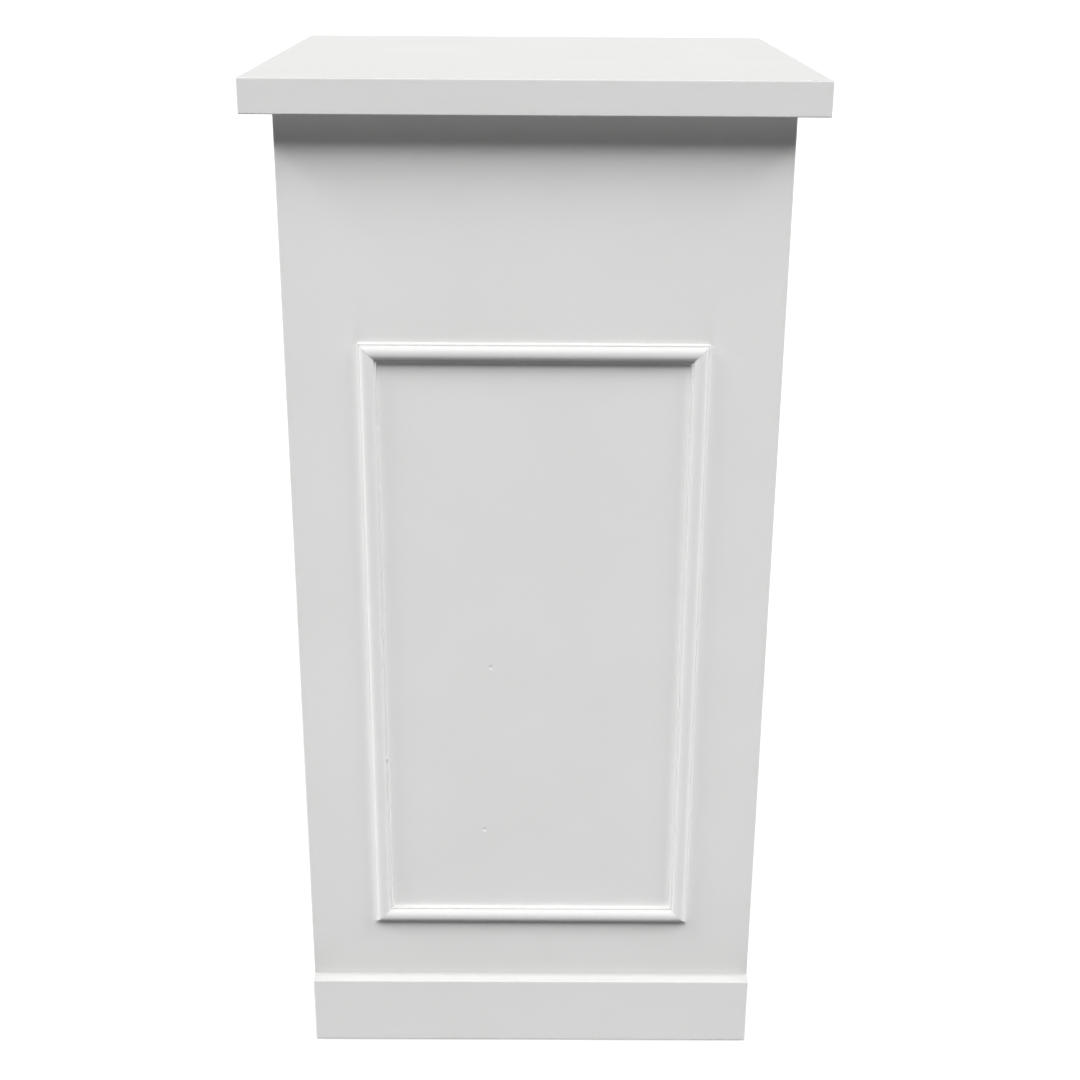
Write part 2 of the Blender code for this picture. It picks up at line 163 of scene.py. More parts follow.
PAD_GRIPS = 24
PAD_GRIP_DEPTH = 0.0004
PAD_GRIP_REACH = 0.0012
PAD_CENTRE = 0.002              # radius of the plain middle below
PAD_ROWS = 90
SCREW_RADIUS = 0.0025
SCREW_CORE = 0.0016
SCREW_HEAD = 0.00475
SCREW_TIP = 0.005
SCREW_PITCH = 0.0022
SCREW_PLAIN = 0.012             # length of the head and the plain shank
SCREW_SHANK = 0.0018            # radius of the plain shank
SCREW_EDGE = 0.0002             # bevel of the head's edge, and radius of the face's innermost row
SCREW_EASE = 0.0003
SCREW_POINT = 0.0001            # left off the point
SCREW_BLUNT = 0.02              # least share of the core that the point keeps
SCREW_FACE_ROWS = 26
RECESS_DEPTH = 0.0021
RECESS_REACH = 0.0025
RECESS_CENTRE = 0.0008          # from here the recess rises along its arms
RECESS_HALF_WIDTH = 0.0005
RECESS_WALL = 0.0003


# Surfaces

def grid_lines(low, high, spacing, places=()):
    """Even lines from low to high, with some close inside each end and fine ones round given places."""
    count = max(2, round((high - low) / spacing) + 1)
    fine = [place + np.arange(-DENT_REACH, DENT_REACH + DENT_LINE, DENT_LINE) for place in places]
    beside = np.array(EDGE_LINES)
    lines = np.concatenate([np.linspace(low, high, count), low + beside, high - beside, *fine])
    return np.unique(np.round(lines[(lines >= low) & (lines <= high)], 5))


def arc(steps=ARC_STEPS):
    """Angles of a quarter turn, both ends included."""
    return np.linspace(0, math.pi / 2, steps + 1)


def eased(points, radius, steps=4):
    """An open line of points with every inner corner rounded.

    Each corner C becomes the curve (1-t)^2 A + 2t(1-t) C + t^2 B, with A and B on the lines that
    meet there, a radius away or half-way along a shorter line."""
    points = np.asarray(points, float)
    corner = points[1:-1]
    back = points[:-2] - corner
    ahead = points[2:] - corner
    reach_back = np.minimum(radius, 0.5 * np.linalg.norm(back, axis=1))[:, None]
    reach_ahead = np.minimum(radius, 0.5 * np.linalg.norm(ahead, axis=1))[:, None]
    start = corner + back / np.linalg.norm(back, axis=1)[:, None] * reach_back
    end = corner + ahead / np.linalg.norm(ahead, axis=1)[:, None] * reach_ahead
    t = np.linspace(0, 1, steps + 1)[None, :, None]
    curve = (1 - t) ** 2 * start[:, None] + 2 * t * (1 - t) * corner[:, None] + t ** 2 * end[:, None]
    return np.concatenate([points[:1], curve.reshape(-1, points.shape[1]), points[-1:]])


def grid_faces(rows, columns, closed_rows=False):
    """Corner numbers of the cells of a grid that closes on itself across its columns."""
    row = np.arange(rows if closed_rows else rows - 1)[:, None]
    column = np.arange(columns)[None, :]
    after = (column + 1) % columns
    below = ((row + 1) % rows) * columns
    cells = np.stack(np.broadcast_arrays(row * columns + column, row * columns + after,
                                         below + after, below + column), axis=-1)
    return cells.reshape(-1, 4)


def add_piece(name, sections, body, replaced, materials, closed_rows=False, smooth=40, pick=None):
    """One piece from a stack of closed sections, an array of rows x columns x 3.

    Neighbouring sections are joined by quads, and the first and last are closed by flat faces
    unless the stack closes on itself. Doubled points are merged and the faces turned outwards.
    pick takes the faces' middles and gives the number of each face's material."""
    rows, columns, _ = sections.shape
    faces = grid_faces(rows, columns, closed_rows).tolist()
    if not closed_rows:
        faces += [list(range(columns)), list(range((rows - 1) * columns, rows * columns))]
    mesh = bpy.data.meshes.new(name)
    mesh.from_pydata(sections.reshape(-1, 3).tolist(), [], faces)
    shape = bmesh.new()
    shape.from_mesh(mesh)
    bmesh.ops.remove_doubles(shape, verts=shape.verts, dist=1e-7)
    bmesh.ops.dissolve_degenerate(shape, edges=shape.edges, dist=1e-7)
    bmesh.ops.recalc_face_normals(shape, faces=shape.faces)
    shape.to_mesh(mesh)
    shape.free()
    for material in materials:
        mesh.materials.append(material)
    if pick:
        middles = np.empty(len(mesh.polygons) * 3)
        mesh.polygons.foreach_get("center", middles)
        mesh.polygons.foreach_set("material_index", pick(middles.reshape(-1, 3)).astype(np.int32))
    mesh.shade_smooth()
    mesh.set_sharp_from_angle(angle=math.radians(smooth))
    piece = bpy.data.objects.new(name, mesh)
    bpy.context.collection.objects.link(piece)
    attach(piece, body)
    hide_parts(replaced)
    return piece


def points_of(piece):
    """A piece's points, as rows of three."""
    points = np.empty(len(piece.data.vertices) * 3)
    piece.data.vertices.foreach_get("co", points)
    return points.reshape(-1, 3)


def store(piece, name, values):
    """Keeps one number for each point of a piece, for its finish to read."""
    attribute = piece.data.attributes.new(name, "FLOAT", "POINT")
    attribute.data.foreach_set("value", values.astype(np.float32))


def mark_edges(piece):
    """Stores 1 at a board's arrises, falling to 0 over the edges' reach.

    A point's distance to the nearest arris is the second smallest of its three distances to the
    board's faces: the smallest is to the face that it lies on."""
    points = points_of(piece)
    to_faces = np.minimum(points - points.min(0), points.max(0) - points)
    distance = np.sort(to_faces, axis=1)[:, 1]
    store(piece, "edge", np.exp(-(distance / EDGE_REACH) ** 2))


def mark_wall_shade(piece, face=0, ledges=()):
    """Stores a wall's painted shade: its floor shade share of exp(-rise / floor shade reach), from the
    floor up.

    A front wall has its face at the given Y, and ledges as (height, half length, share). There the
    painted shade rises from the lowest ledge, and each one adds its share of exp(-rise / corner reach),
    shade painted in the corner above it."""
    x, y, z = points_of(piece).T
    front = (y < face + ARRIS / 2) & (len(ledges) > 0)
    foot = front * min((height for height, _, _ in ledges), default=0)
    # painted shade: darker towards the floor, and darker still in the corner above each ledge
    painted_shade = FLOOR_SHADE_SHARE * np.exp(-np.maximum(z - foot, 0) / FLOOR_SHADE_REACH)
    for height, half_length, share in ledges:
        above = front & (z > height - SUNK)
        beside = np.clip((half_length + CORNER_FADE - np.abs(x)) / CORNER_FADE, 0, 1)
        painted_shade += share * above * beside * np.exp(-np.maximum(z - height, 0) / CORNER_REACH)
    store(piece, "painted_shade", painted_shade)


def mark_ledge_shade(piece, face, top):
    """Stores the painted shade on a ledge's top, in the crease beside the wall: share * exp(-(distance out
    from the wall / ledge reach)^2).

    It fades out over the last stretch of the same reach before both ends."""
    x, y, z = points_of(piece).T
    out = LEDGE_SHARE * np.exp(-((face - y) / LEDGE_REACH) ** 2)
    to_end = x.max() - np.abs(x)
    on_top = z > top - SUNK
    store(piece, "painted_shade", out * np.clip(to_end / LEDGE_REACH, 0, 1) * on_top)


def node_box(node):
    """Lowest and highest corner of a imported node, as arrays."""
    low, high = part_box(node)
    return np.array(low), np.array(high)


# Finishes

class Value:
    """A number or colour that varies over a surface. Arithmetic on it adds Math nodes."""

    def __init__(self, finish, socket):
        self.finish = finish
        self.socket = socket

    def math(self, operation, *numbers):
        return self.finish.node("ShaderNodeMath", {"operation": operation}, dict(enumerate(numbers)))

    def __add__(self, other):
        return self.math("ADD", self, other)

    def __sub__(self, other):
        return self.math("SUBTRACT", self, other)

    def __rsub__(self, other):
        return self.math("SUBTRACT", other, self)

    def __mul__(self, other):
        return self.math("MULTIPLY", self, other)

    __radd__ = __add__
    __rmul__ = __mul__

    def power(self, exponent):
        return self.math("POWER", self, exponent)

    def sine(self):
        return self.math("SINE", self)

    def between(self, low, high):
        """0 below low, 1 above high, smooth between them."""
        settings = {"interpolation_type": "SMOOTHSTEP"}
        return self.finish.node("ShaderNodeMapRange", settings, {0: self, 1: low, 2: high})


class Finish:
    """A material, or the world, under construction: its shader and the nodes that feed it."""

    def __init__(self, owner):
        owner.use_nodes = True
        self.owner = owner
        self.tree = owner.node_tree
        self.output = next(node for node in self.tree.nodes if "Surface" in node.inputs)
        self.shader = self.output.inputs["Surface"].links[0].from_node

    def node(self, kind, settings=None, sockets=None, output=0):
        """Adds a node: its settings first, then its sockets' values or links. Gives one output."""
        made = self.tree.nodes.new(kind)
        for name, value in (settings or {}).items():
            setattr(made, name, value)
        self.fill(made, sockets or {})
        return Value(self, made.outputs[output])

    def fill(self, node, sockets):
        """Sets or links a node's input sockets."""
        for name, value in sockets.items():
            socket = node.inputs[name]
            if isinstance(value, Value):
                self.tree.links.new(value.socket, socket)
            elif socket.type == "RGBA":
                socket.default_value = (*value, 1.0)
            else:
                socket.default_value = value

    def place(self, scale=(1, 1, 1), move=(0, 0, 0)):
        """Object coordinates, scaled and moved."""
        place = self.node("ShaderNodeTexCoord", output="Object")
        return self.node("ShaderNodeMapping", {}, {"Vector": place, "Location": move, "Scale": scale})

    def noise(self, place, scale, detail=2.0, roughness=0.5):
        sockets = {"Vector": place, "Scale": scale, "Detail": detail, "Roughness": roughness}
        return self.node("ShaderNodeTexNoise", {}, sockets)

    def attribute(self, name):
        return self.node("ShaderNodeAttribute", {"attribute_name": name}, output="Fac")

    def facing_up(self):
        """0 on upright faces, 1 on level ones."""
        normal = self.node("ShaderNodeNewGeometry", output="Normal")
        return self.node("ShaderNodeSeparateXYZ", {}, {0: normal}, output="Z").between(0.0, 0.95)

    def blend(self, factor, first, second):
        """A colour that goes from the first to the second as the factor goes from 0 to 1."""
        return self.node("ShaderNodeMix", {"data_type": "RGBA"}, {0: factor, 6: first, 7: second}, output=2)

    def tone(self, factor, colour, share):
        """A colour of which each channel keeps only a share as the factor goes from 0 to 1."""
        settings = {"data_type": "RGBA", "blend_type": "MULTIPLY"}
        return self.node("ShaderNodeMix", settings, {0: factor, 6: colour, 7: share}, output=2)

    def bump(self, height, distance, normal=None):
        sockets = {"Height": height, "Distance": distance, "Strength": 1.0}
        if normal:
            sockets["Normal"] = normal
        return self.node("ShaderNodeBump", {}, sockets)

    def surface(self, **sockets):
        """Feeds the shader, with a socket's name in lower case and low lines for its spaces."""
        self.fill(self.shader, {name.replace("_", " ").title(): value for name, value in sockets.items()})
        return self.owner

    def seen_directly(self):
        """1 for a ray that comes from the camera, a reflection or through glass, else 0."""
        seen = self.node("ShaderNodeLightPath", output="Is Camera Ray")
        for ray in ("Is Glossy Ray", "Is Transmission Ray"):
            seen = seen.math("MAXIMUM", seen, self.node("ShaderNodeLightPath", output=ray))
        return seen


def new_finish(name):
    return Finish(bpy.data.materials.new(name))


WHITE = (0.890, 0.890, 0.887)
# a duller white for the trim: partly its own tone, and partly painted shade on faces that catch the light
# from above
TRIM_WHITE_AND_SHADE = (0.840, 0.840, 0.837)
WORN = (0.945, 0.943, 0.930)    # what thin or rubbed paint keeps of a white
SHADED = (0.982, 0.982, 0.980)  # what the duller patches keep of it
DUST_AND_SHADE = (0.670, 0.670, 0.665)   # what level faces keep of it, under fine dust and painted shade
PAINTED_SHADE_TONE = (0.700, 0.700, 0.695)   # what the darkest painted shade, above the skirting, keeps of its colour
PAINT_GLOSS = 0.30              # a satin paint throws back less than a polished one
PAINT_ROUGHNESS = 0.47
DULL_GLOSS = 0.10
DULL_ROUGHNESS = 0.60
DUST_SHADE_LEAST = 0.9                # cover of the dust and painted shade where the patches are darkest
DUST_SHADE_SPREAD = 0.2
PEEL_DEPTH = 0.00012            # reliefs, in metres
STIPPLE_DEPTH = 0.00003
STREAK_DEPTH = 0.00005
FIBRE_DEPTH = 0.00008
PORE_DEPTH = 0.00006
RUB_DEPTH = 0.00001
RUBBER_DEPTH = 0.00005
FIBREBOARD_DARK = (0.40, 0.29, 0.18)
FIBREBOARD_PALE = (0.49, 0.37, 0.24)
FIBREBOARD_FLECK = (0.27, 0.18, 0.10)
EARLY_WOOD = (0.66, 0.46, 0.25)
LATE_WOOD = (0.45, 0.25, 0.10)
PALE_WOOD = (0.74, 0.58, 0.37)
WOOD_PORE = (0.33, 0.18, 0.08)
PITH = (0.11, 0.07, 0.05)       # how far the rings' middle is moved out of the plinth's
ZINC_COOL = (0.56, 0.58, 0.62)
ZINC_STRAW = (0.63, 0.60, 0.52)
ZINC_SPOT = (0.42, 0.42, 0.43)
RUBBER_BLACK = (0.022, 0.022, 0.023)
RUBBER_BLOOM = (0.060, 0.058, 0.055)


def toned(white, share):
    """A white, darkened channel by channel."""
    return tuple(np.multiply(white, share))


def patched(paint, white, patches):
    """A white with duller patches."""
    return paint.blend(patches.between(0.3, 0.7), toned(white, SHADED), white)


def dusted_and_shaded(paint, colour, white, patches):
    """A colour under fine dust and painted shade on its level faces, thicker in the paler patches."""
    cover = paint.facing_up() * (DUST_SHADE_LEAST + DUST_SHADE_SPREAD * patches)
    return paint.blend(cover, colour, toned(white, DUST_AND_SHADE))


def rolled_paint(name, white, gloss=PAINT_GLOSS, rough=PAINT_ROUGHNESS):
    """Satin paint, rolled on: fine stipple, broad soft patches, and thinner rubbed paint at arrises.

    Fine dust and painted shade darken the level faces, and painted shade darkens the inner corners above
    ledges and the walls towards the floor."""
    paint = new_finish(name)
    place = paint.place()
    patches = paint.noise(place, 9, detail=3)
    laps = paint.noise(paint.place((38, 38, 3)), 1, detail=2)
    stipple = paint.noise(place, 640, detail=1)
    peel = paint.noise(place, 120, detail=2)
    rubbed = paint.attribute("edge") * paint.noise(place, 70, detail=3).between(0.42, 0.72)
    colour = paint.blend(rubbed * 0.8, patched(paint, white, patches), toned(white, WORN))
    # fine dust and painted shade on the level faces
    colour = dusted_and_shaded(paint, colour, white, patches)
    # painted shade: darker in the corners above ledges, on the skirting's top beside the panel and towards
    # the floor
    colour = paint.tone(paint.attribute("painted_shade"), colour, PAINTED_SHADE_TONE)
    roughness = rough + 0.10 * patches + 0.05 * laps - 0.08 * rubbed
    relief = paint.bump(peel, PEEL_DEPTH)
    relief = paint.bump(stipple, STIPPLE_DEPTH, relief)
    paint.fill(paint.shader, {"Specular IOR Level": gloss})
    return paint.surface(base_color=colour, roughness=roughness, normal=relief)


def brushed_paint(along, white):
    """Satin paint, brushed on along one axis: fine streaks, and drag marks that fade in and out."""
    paint = new_finish("satin_white_brushed_" + "xyz"[along])
    across = [900.0] * 3
    across[along] = 14.0
    place = paint.place()
    streaks = paint.noise(paint.place(across), 1, detail=2)
    patches = paint.noise(place, 22, detail=3)
    thin = streaks.between(0.55, 0.9) * 0.25
    colour = paint.blend(thin, patched(paint, white, patches), toned(white, WORN))
    # fine dust and painted shade on the level faces
    colour = dusted_and_shaded(paint, colour, white, patches)
    roughness = 0.45 + 0.08 * patches + 0.08 * streaks
    relief = paint.bump(streaks * patches.between(0.35, 0.65), STREAK_DEPTH)
    paint.fill(paint.shader, {"Specular IOR Level": PAINT_GLOSS})
    return paint.surface(base_color=colour, roughness=roughness, normal=relief)


def raw_fibreboard():
    """Bare fibreboard inside the box: fine matted fibres in two browns."""
    board = new_finish("raw_fibreboard")
    place = board.place()
    fibres = board.noise(place, 900, detail=3, roughness=0.7)
    flecks = board.noise(place, 260, detail=2).between(0.55, 0.75)
    clouds = board.noise(place, 14, detail=2)
    colour = board.blend(clouds, FIBREBOARD_DARK, FIBREBOARD_PALE)
    colour = board.blend(flecks * 0.5, colour, FIBREBOARD_FLECK)
    relief = board.bump(fibres, FIBRE_DEPTH)
    return board.surface(base_color=colour, roughness=0.80 + 0.15 * fibres, normal=relief)


def pine(along):
    """Planed pine: rings about a pith beside the piece, stretched along the grain, and fine pores."""
    wood = new_finish("pine_along_" + "xyz"[along])
    squash = [1.0] * 3
    squash[along] = 0.06
    place = wood.place(squash, PITH)
    drift = wood.noise(place, 26, detail=3)
    flat = [1.0] * 3
    flat[along] = 0.0
    radius = wood.node("ShaderNodeVectorMath", {"operation": "LENGTH"}, {0: wood.place(flat, PITH)},
                       output="Value")
    rings = 0.5 + 0.5 * (radius * 1500 + drift * 22).sine()
    late = rings.power(3)
    pores = wood.noise(wood.place([3200 if axis != along else 60 for axis in range(3)]), 1, detail=2)
    tint = wood.noise(place, 11, detail=2)
    colour = wood.blend(late, EARLY_WOOD, LATE_WOOD)
    colour = wood.blend(tint * 0.35, colour, PALE_WOOD)
    colour = wood.blend(pores.between(0.55, 0.8) * 0.35, colour, WOOD_PORE)
    relief = wood.bump(pores - 0.4 * late, PORE_DEPTH)
    return wood.surface(base_color=colour, roughness=0.62 + 0.2 * pores, normal=relief)


def zinc_plate():
    """Bright zinc plating: cool and straw tints in patches, fine rub marks, duller spots."""
    metal = new_finish("zinc_plate")
    place = metal.place()
    tint = metal.noise(place, 160, detail=2)
    spots = metal.noise(place, 900, detail=2).between(0.58, 0.75)
    rubs = metal.noise(metal.place((2600, 2600, 300)), 1, detail=1)
    colour = metal.blend(tint.between(0.35, 0.65), ZINC_COOL, ZINC_STRAW)
    colour = metal.blend(spots * 0.5, colour, ZINC_SPOT)
    relief = metal.bump(rubs, RUB_DEPTH)
    return metal.surface(base_color=colour, metallic=1.0, roughness=0.24 + 0.14 * rubs + 0.2 * spots,
                         normal=relief)


def moulded_rubber():
    """Black moulded rubber: a fine matt grain, a slight bloom, and dust in patches."""
    rubber = new_finish("moulded_rubber")
    place = rubber.place()
    grain = rubber.noise(place, 2200, detail=2)
    bloom = rubber.noise(place, 120, detail=3)
    colour = rubber.blend(bloom.between(0.45, 0.75) * 0.6, RUBBER_BLACK, RUBBER_BLOOM)
    relief = rubber.bump(grain, RUBBER_DEPTH)
    return rubber.surface(base_color=colour, roughness=0.66 + 0.2 * bloom, normal=relief)


# Painted boards

def rounded_rectangle(half_x, half_y, radius, lines_x, lines_y):
    """Core points and outward directions of a rectangle with quarter-round corners.

    A point of the rectangle is core + radius * direction, so an inset loop only takes a smaller
    radius. The core of each side lies on the inner rectangle, along the given lines."""
    inner = np.array([half_x - radius, half_y - radius])
    turn = arc()[1:-1]
    cores, directions = [], []
    sides = (((0, -1), lines_x), ((1, 0), lines_y), ((0, 1), -lines_x), ((-1, 0), -lines_y))
    for (out_x, out_y), lines in sides:
        out = np.array([out_x, out_y], float)
        run = np.array([-out_y, out_x], float)
        forward = lines * run.sum()
        core = out * inner + run * forward[:, None]
        corner = core[-1:]
        cores += [core, np.repeat(corner, len(turn), axis=0)]
        bend = np.cos(turn)[:, None] * out + np.sin(turn)[:, None] * run
        directions += [np.repeat(out[None], len(core), axis=0), bend]
    return np.concatenate(cores), np.concatenate(directions)


def rounded_board(low, high, radius, spacing, axis):
    """Sections of a board with every arris and corner rounded, stacked along one axis.

    Section: core + radius cos(t) direction, at the height of the flat end plus radius sin(t). Both
    flat ends have more loops inside them, so that their shading stays flat and their wear fades."""
    across = [other for other in range(3) if other != axis]
    middle = (low + high) / 2
    half = (high - low) / 2
    lines = [grid_lines(-(half[k] - radius), half[k] - radius, spacing) for k in across]
    core, out = rounded_rectangle(half[across[0]], half[across[1]], radius, *lines)
    turn = arc()
    straight = grid_lines(-(half[axis] - radius), half[axis] - radius, spacing)
    low_turn = turn[::-1][:-1]
    levels = np.concatenate([-(half[axis] - radius) - radius * np.sin(low_turn), straight,
                             half[axis] - radius + radius * np.sin(turn[1:])])
    reach = np.concatenate([radius * np.cos(low_turn), np.full(len(straight), radius),
                            radius * np.cos(turn[1:])])
    inset = np.array(EDGE_LINES)
    levels = np.concatenate([np.repeat(levels[:1], len(inset)), levels, np.repeat(levels[-1:], len(inset))])
    reach = np.concatenate([-inset[::-1], reach, -inset])
    inward = np.maximum(-reach, 0)[:, None, None]
    limit = np.maximum(np.abs(core).max(0) - inward, 0)
    plan = np.clip(core, -limit, limit) + np.maximum(reach, 0)[:, None, None] * out
    sections = np.empty((*plan.shape[:2], 3))
    sections[..., across[0]] = plan[..., 0] + middle[across[0]]
    sections[..., across[1]] = plan[..., 1] + middle[across[1]]
    sections[..., axis] = levels[:, None] + middle[axis]
    return sections


def dents(x, z):
    """Depth of the small dents: for each, depth * exp(-(distance / radius)^4)."""
    depth = np.zeros(np.broadcast(x, z).shape)
    for across, height, radius, deepest in DENTS:
        distance = np.hypot(x - across, z - height) / radius
        depth += deepest * np.exp(-distance ** 4)
    return depth


def carried_outline(outline, levels, inset):
    """A closed outline in plan carried up through levels, drawn in by a small inset at each.

    A point moves in along its outline's normal, which is square to the line between its two
    neighbours."""
    run = np.roll(outline, -1, axis=0) - np.roll(outline, 1, axis=0)
    normal = np.stack([run[:, 1], -run[:, 0]], axis=1)
    normal /= np.maximum(np.linalg.norm(normal, axis=1), 1e-9)[:, None]
    area = np.sum(outline[:, 0] * np.roll(outline[:, 1], -1) - np.roll(outline[:, 0], -1) * outline[:, 1])
    plan = outline[None] - np.sign(area) * np.asarray(inset)[:, None, None] * normal[None]
    height = np.broadcast_to(np.asarray(levels)[:, None, None], (len(levels), len(outline), 1))
    return np.concatenate([plan, height], axis=2)


def end_panel(node, sign, places, ledges, paint, bare):
    """The front or back panel: an outline with rounded arrises and rebated inner edges, carried up.

    The outline runs along the face on given lines, round each arris and back along the rebates.
    The front panel's face sinks by the depth of its dents, and has close lines above its ledges,
    the lowest of which goes right across."""
    low, high = node_box(node)
    half = high[0]
    face = max(abs(low[1]), abs(high[1]))
    inside = min(abs(low[1]), abs(high[1]))
    lip_end = (face + inside) / 2
    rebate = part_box("left_side_panel")[1][0]
    lines = grid_lines(-(half - ARRIS), half - ARRIS, BOARD_LINES, [place[0] for place in places])
    for _, half_length, _ in ledges[1:]:
        ends = np.array([half_length, half_length + CORNER_FADE])
        lines = np.union1d(lines, [-ends, ends])
    turn = arc()[1:]
    bend = np.stack([half - ARRIS + ARRIS * np.sin(turn), face - ARRIS + ARRIS * np.cos(turn)], axis=1)
    edge = np.array([
        (half, face - ARRIS - CLOSE_LINE),
        (half, lip_end + SEAM_CHAMFER),
        (half - SEAM_CHAMFER, lip_end),
        (-rebate - GLUE_LINE, lip_end),
        (-rebate - GLUE_LINE, inside),
    ])
    right = np.concatenate([bend, edge])
    front = np.stack([lines, np.full(len(lines), face)], axis=1)
    outline = np.concatenate([front, right, (right * (-1, 1))[::-1]])
    levels = grid_lines(low[2], high[2], BOARD_LINES, [place[1] for place in places])
    for height, _, _ in ledges:
        levels = np.union1d(levels, height + np.array(CORNER_LINES))
    inset = np.where(levels == levels[0], SEAM_CHAMFER, 0)
    sections = carried_outline(outline, levels, inset)
    sections[:, :len(lines), 1] -= dents(lines[None], levels[:, None]) if places else 0
    sections[..., 1] *= sign
    piece = add_piece(f"painted_{node}", sections, "carcass", node, (paint, bare), smooth=30,
                      pick=lambda middle: middle[:, 1] * sign < lip_end - LIP_PAINT)
    mark_edges(piece)
    # painted shade towards the floor, and above the ledges where there are any
    mark_wall_shade(piece, low[1], ledges)


def side_panel(node, sign, paint, bare):
    """A side panel that nearly closes its seams with the front and back, with chamfered edges."""
    low, high = node_box(node)
    reach = (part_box("back_panel")[1][1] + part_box("back_panel")[0][1]) / 2 - SEAM_GAP
    outer = max(abs(low[0]), abs(high[0]))
    inner = min(abs(low[0]), abs(high[0]))
    lines = grid_lines(-(reach - SEAM_CHAMFER), reach - SEAM_CHAMFER, BOARD_LINES)
    face = np.stack([np.full(len(lines), outer), lines], axis=1)
    rest = [(outer - SEAM_CHAMFER, reach), (inner, reach), (inner, -reach), (outer - SEAM_CHAMFER, -reach)]
    outline = np.concatenate([face, rest])
    levels = grid_lines(low[2], high[2], BOARD_LINES)
    inset = np.where(levels == levels[0], SEAM_CHAMFER, 0)
    sections = carried_outline(outline, levels, inset)
    sections[..., 0] *= sign
    piece = add_piece(f"painted_{node}", sections, "carcass", node, (paint, bare), smooth=30,
                      pick=lambda middle: middle[:, 0] * sign < outer - SIDE_PAINT)
    mark_edges(piece)
    # painted shade towards the floor
    mark_wall_shade(piece)


def make_skirting(paint):
    """The skirting: its section carried along X, drawn in by arris * (1 - cos(t)) at both ends.

    The section has two rounded arrises, and a hollow of caulk from its top up to the panel. Its back
    stays on the panel where the ends are drawn in."""
    low, high = node_box("front_skirting")
    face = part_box("front_panel")[0][1]
    out = face - low[1]
    hollow = arc(CAULK_STEPS)
    caulk = np.stack([SKIRTING_CAULK * (1 - np.sin(hollow)),
                      high[2] + SKIRTING_CAULK * (1 - np.cos(hollow))], axis=1)
    corners = eased([(-SUNK, low[2]), (out, low[2]), (out, high[2]), caulk[0]], SKIRTING_ARRIS, ARC_STEPS)
    close = SKIRTING_ARRIS + CLOSE_LINE
    lower, upper = corners[1:-1].reshape(2, -1, 2)
    face_lines = grid_lines(low[2] + SKIRTING_ARRIS, high[2] - SKIRTING_ARRIS, BOARD_LINES)[1:-1]
    ledge_lines = np.linspace(out - close, 2 * SKIRTING_CAULK, LEDGE_LINES)
    outline = np.concatenate([
        [(-SUNK, low[2]), (out - close, low[2])], lower, [(out, level) for level in face_lines],
        upper, [(across, high[2]) for across in ledge_lines], caulk, [(-SUNK, caulk[-1, 1])],
    ])
    end = high[0] - SKIRTING_ARRIS
    turn = arc()[1:]
    lines = grid_lines(-end, end, BOARD_LINES)
    stations = np.concatenate([-end - SKIRTING_ARRIS * np.sin(turn[::-1]), lines,
                               end + SKIRTING_ARRIS * np.sin(turn)])
    drawn_in = SKIRTING_ARRIS * (1 - np.cos(turn))
    inset = np.concatenate([drawn_in[::-1], np.zeros(len(lines)), drawn_in])
    drawn = carried_outline(outline, stations, inset)
    share = np.clip(outline[:, 0] / SKIRTING_CAULK, 0, 1)[None, :, None]
    plan = outline[None] + share * (drawn[..., :2] - outline[None])
    sections = np.stack([drawn[..., 2], face - plan[..., 0], plan[..., 1]], axis=-1)
    piece = add_piece("painted_front_skirting", sections, "carcass", "front_skirting",
                      (paint,))
    mark_edges(piece)
    # painted shade on the skirting's top beside the panel
    mark_ledge_shade(piece, face, high[2])


def make_boards(paint, trim, dulled, bare):
    """Top board, skirting and the four walls."""
    low, high = node_box("top_board")
    sections = rounded_board(low, high, ARRIS, BOARD_LINES, axis=2)
    top = add_piece("painted_top_board", sections, "carcass", "top_board", (trim, dulled),
                    pick=lambda middle: middle[:, 2] > high[2] - ARRIS * FACE_SHARE)
    mark_edges(top)
    make_skirting(trim)
    skirting_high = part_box("front_skirting")[1]
    mould_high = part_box("panel_mould_top")[1]
    # ledges that the front panel takes painted shade above: the skirting and the moulding frame
    ledges = (
        (skirting_high[2], skirting_high[0], 1 - FLOOR_SHADE_SHARE),
        (mould_high[2], mould_high[0], FRAME_SHARE),
    )
    end_panel("front_panel", -1, DENTS, ledges, paint, bare)
    end_panel("back_panel", 1, (), (), paint, bare)
    side_panel("left_side_panel", -1, paint, bare)
    side_panel("right_side_panel", 1, paint, bare)


# Panel moulding

def mould_section(width, thickness):
    """Section of the moulding as (across, out) points, from its outer edge to its inner one.

    A small hollow of paint joins it to the panel. Then come a rounded fillet, a sunk quirk and the bead,
    and the same in reverse. The bead goes half its width * cos(t)^(2 / power) across from its middle,
    and its rise * sin(t)^(2 / power) out from the quirk's floor."""
    quirk_floor = MOULD_FILLET_HEIGHT - MOULD_QUIRK_DEPTH
    half_bead = width / 2 - MOULD_FILLET - MOULD_QUIRK
    hollow = arc(MOULD_PAINT_STEPS)
    paint = np.stack([-MOULD_PAINT_FILLET * (1 - np.sin(hollow)),
                      MOULD_PAINT_FILLET * (1 - np.cos(hollow))], axis=1)
    edge = eased([
        (0, MOULD_PAINT_FILLET), (0, MOULD_FILLET_HEIGHT), (MOULD_FILLET, MOULD_FILLET_HEIGHT),
        (MOULD_FILLET, quirk_floor), (MOULD_FILLET + MOULD_QUIRK * MOULD_QUIRK_FLAT, quirk_floor),
    ], MOULD_EASE)
    turn = np.linspace(math.pi - MOULD_HOLLOW, MOULD_HOLLOW, BEAD_POINTS)
    bead = np.stack([
        width / 2 + half_bead * np.sign(np.cos(turn)) * np.abs(np.cos(turn)) ** (2 / MOULD_POWER),
        quirk_floor + (thickness - quirk_floor) * np.sin(turn) ** (2 / MOULD_POWER),
    ], axis=1)
    outer = np.concatenate([paint, edge[1:]])
    inner = (outer * (-1, 1) + (width, 0))[::-1]
    return np.concatenate([outer, bead, inner])


